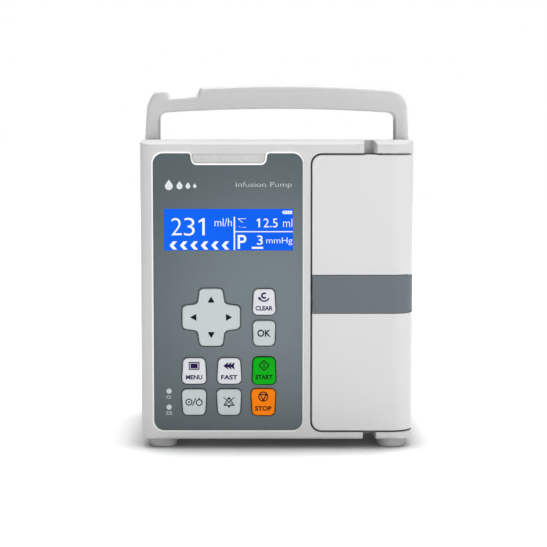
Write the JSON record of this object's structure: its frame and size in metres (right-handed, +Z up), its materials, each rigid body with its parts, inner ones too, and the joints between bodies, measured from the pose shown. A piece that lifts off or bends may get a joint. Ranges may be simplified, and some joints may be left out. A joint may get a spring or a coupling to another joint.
{
  "type": "infusion pump",
  "caption": "Bedside infusion pump with a keypad and display, a hinged door over its pumping fingers, a carrying handle and a pole clamp.",
  "frame": {"origin": "on the table under the middle of the whole part's box", "axes": "+Z up, -Y out of the front face towards the user, +X to the user's right"},
  "size_m": [0.15, 0.165, 0.2004],
  "materials": {
    "housing": "satin, fine texture",
    "panel": "matt printed sheet",
    "lens_grey": "satin translucent",
    "clear_window": "clear",
    "display": "backlit blue",
    "light_pipe": "translucent",
    "key_grey": "satin",
    "key_green": "satin",
    "key_orange": "satin",
    "door": "satin, fine texture",
    "latch": "satin",
    "foot_rubber": "matt",
    "silicone": "matt",
    "board": "solder mask",
    "steel": "brushed",
    "alloy": "satin",
    "acetal": "smooth",
    "black_plastic": "satin",
    "battery": "shrink wrap",
    "clamp_paint": "fine powder coat",
    "brass": "plain"
  },
  "bodies": {
    "pump_body": {"front_housing": "housing", "rear_housing": "housing", "carry_handle": "housing", "rubber_feet": "foot_rubber", "panel_overlay": "panel", "alarm_light_lens": "lens_grey", "display_window": "clear_window", "display_module": "display", "status_light_pipes": "light_pipe", "keypad_mat": "silicone", "keypad_board": "board", "hinge_pins": "steel", "mechanism_plate": "steel", "mechanism_frame": "alloy", "shaft_bearings": "steel", "stepper_motor": "black_plastic", "pressure_sensors": "steel", "bubble_sensor": "black_plastic", "flow_clamp_spring": "steel", "main_board": "board", "power_supply": "board", "battery_pack": "battery", "battery_cover": "housing", "speaker": "black_plastic", "power_inlet": "black_plastic", "data_connector": "black_plastic", "ground_post": "brass", "case_and_bracket_screws": "steel", "clamp_bracket": "clamp_paint"},
    "door": {"door_shell": "door", "door_inner_plate": "door", "platen_springs": "steel", "lever_pin": "steel"},
    "platen": {"platen": "acetal"},
    "latch_lever": {"latch_lever": "latch"},
    "latch_bar": {"latch_bar": "steel"},
    "camshaft": {"camshaft": "steel", "cam_gear": "acetal"},
    "motor_pinion": {"motor_pinion": "brass"},
    "flow_clamp_jaw": {"flow_clamp_jaw": "acetal"},
    "four_way_ring": {"four_way_pivot_ring": "acetal"},
    "four_way_key": {"key_four_way": "key_grey"},
    "clamp_pad": {"clamp_pad": "black_plastic"},
    "clamp_screw": {"clamp_screw": "black_plastic"},
    "key_clear": {"key_clear": "key_grey"},
    "key_ok": {"key_ok": "key_grey"},
    "key_menu": {"key_menu": "key_grey"},
    "key_fast": {"key_fast": "key_grey"},
    "key_start": {"key_start": "key_green"},
    "key_power": {"key_power": "key_grey"},
    "key_mute": {"key_mute": "key_grey"},
    "key_stop": {"key_stop": "key_orange"},
    "finger_1": {"pump_finger_1": "acetal"},
    "finger_2": {"pump_finger_2": "acetal"},
    "finger_3": {"pump_finger_3": "acetal"},
    "finger_4": {"pump_finger_4": "acetal"},
    "finger_5": {"pump_finger_5": "acetal"},
    "finger_6": {"pump_finger_6": "acetal"},
    "finger_7": {"pump_finger_7": "acetal"},
    "finger_8": {"pump_finger_8": "acetal"}
  },
  "joints": [
    {"name": "door_hinge", "type": "hinge", "parent": "pump_body", "child": "door", "pos_m": [0.063, -0.0705, 0.0854], "axis": [0, 0, 1], "range_deg": [0, 110]},
    {"name": "latch_lever_pivot", "type": "hinge", "parent": "door", "child": "latch_lever", "pos_m": [0.07227, -0.07425, 0.0851], "axis": [0, 0, 1], "range_deg": [0, 25]},
    {"name": "latch_bar_slide", "type": "slide", "parent": "door", "child": "latch_bar", "axis": [0, 0, 1], "range_m": [0, 0.005]},
    {"name": "platen_slide", "type": "slide", "parent": "door", "child": "platen", "axis": [0, -1, 0], "range_m": [0, 0.0018], "stiffness_N_per_m": 3000, "deforming": ["platen_springs"]},
    {"name": "camshaft_spin", "type": "hinge", "parent": "pump_body", "child": "camshaft", "pos_m": [0.051, -0.035, 0.09], "axis": [0, 0, 1], "continuous": true},
    {"name": "motor_spin", "type": "hinge", "parent": "pump_body", "child": "motor_pinion", "pos_m": [0.0238, -0.035, 0.13], "axis": [0, 0, 1], "continuous": true},
    {"name": "flow_clamp_slide", "type": "slide", "parent": "pump_body", "child": "flow_clamp_jaw", "axis": [0, -1, 0], "range_m": [0, 0.0025], "stiffness_N_per_m": 1500, "deforming": ["flow_clamp_spring"]},
    {"name": "four_way_tilt_up_down", "type": "hinge", "parent": "pump_body", "child": "four_way_ring", "pos_m": [-0.03606, -0.0779, 0.0724], "axis": [1, 0, 0], "range_deg": [-3, 3], "stiffness_Nm_per_rad": 0.5},
    {"name": "four_way_tilt_left_right", "type": "hinge", "parent": "four_way_ring", "child": "four_way_key", "pos_m": [-0.03606, -0.0779, 0.0724], "axis": [0, 0, 1], "range_deg": [-3, 3], "stiffness_Nm_per_rad": 0.5},
    {"name": "clamp_pad_slide", "type": "slide", "parent": "pump_body", "child": "clamp_pad", "axis": [1, 0, 0], "range_m": [-0.002, 0.0205]},
    {"name": "clamp_screw_turn", "type": "hinge", "parent": "clamp_pad", "child": "clamp_screw", "pos_m": [-0.045, 0.063, 0.092], "axis": [1, 0, 0], "continuous": true},
    {"name": "key_clear_press", "type": "slide", "parent": "pump_body", "child": "key_clear", "axis": [0, 1, 0], "range_m": [0, 0.0007], "stiffness_N_per_m": 1500},
    {"name": "key_ok_press", "type": "slide", "parent": "pump_body", "child": "key_ok", "axis": [0, 1, 0], "range_m": [0, 0.0007], "stiffness_N_per_m": 1500},
    {"name": "key_menu_press", "type": "slide", "parent": "pump_body", "child": "key_menu", "axis": [0, 1, 0], "range_m": [0, 0.0007], "stiffness_N_per_m": 1500},
    {"name": "key_fast_press", "type": "slide", "parent": "pump_body", "child": "key_fast", "axis": [0, 1, 0], "range_m": [0, 0.0007], "stiffness_N_per_m": 1500},
    {"name": "key_start_press", "type": "slide", "parent": "pump_body", "child": "key_start", "axis": [0, 1, 0], "range_m": [0, 0.0007], "stiffness_N_per_m": 1500},
    {"name": "key_power_press", "type": "slide", "parent": "pump_body", "child": "key_power", "axis": [0, 1, 0], "range_m": [0, 0.0007], "stiffness_N_per_m": 1500},
    {"name": "key_mute_press", "type": "slide", "parent": "pump_body", "child": "key_mute", "axis": [0, 1, 0], "range_m": [0, 0.0007], "stiffness_N_per_m": 1500},
    {"name": "key_stop_press", "type": "slide", "parent": "pump_body", "child": "key_stop", "axis": [0, 1, 0], "range_m": [0, 0.0007], "stiffness_N_per_m": 1500},
    {"name": "finger_1_slide", "type": "slide", "parent": "pump_body", "child": "finger_1", "axis": [0, 1, 0], "range_m": [-0.0012, 0.0012]},
    {"name": "finger_2_slide", "type": "slide", "parent": "pump_body", "child": "finger_2", "axis": [0, 1, 0], "range_m": [-0.00205, 0.00035]},
    {"name": "finger_3_slide", "type": "slide", "parent": "pump_body", "child": "finger_3", "axis": [0, 1, 0], "range_m": [-0.0024, 0]},
    {"name": "finger_4_slide", "type": "slide", "parent": "pump_body", "child": "finger_4", "axis": [0, 1, 0], "range_m": [-0.00205, 0.00035]},
    {"name": "finger_5_slide", "type": "slide", "parent": "pump_body", "child": "finger_5", "axis": [0, 1, 0], "range_m": [-0.0012, 0.0012]},
    {"name": "finger_6_slide", "type": "slide", "parent": "pump_body", "child": "finger_6", "axis": [0, 1, 0], "range_m": [-0.00035, 0.00205]},
    {"name": "finger_7_slide", "type": "slide", "parent": "pump_body", "child": "finger_7", "axis": [0, 1, 0], "range_m": [0, 0.0024]},
    {"name": "finger_8_slide", "type": "slide", "parent": "pump_body", "child": "finger_8", "axis": [0, 1, 0], "range_m": [-0.00035, 0.00205]}
  ],
  "couplings": [
    {"joint": "latch_bar_slide", "follows": "latch_lever_pivot", "m_per_rad": 0.011448},
    {"joint": "motor_spin", "follows": "camshaft_spin", "ratio": -2.4},
    {"joint": "clamp_screw_turn", "follows": "clamp_pad_slide", "rad_per_m": 2094.4},
    {"joint": "finger_5_slide", "follows": "finger_1_slide", "ratio": -1},
    {"joint": "finger_6_slide", "follows": "finger_2_slide", "ratio": -1},
    {"joint": "finger_7_slide", "follows": "finger_3_slide", "ratio": -1},
    {"joint": "finger_8_slide", "follows": "finger_4_slide", "ratio": -1}
  ]
}
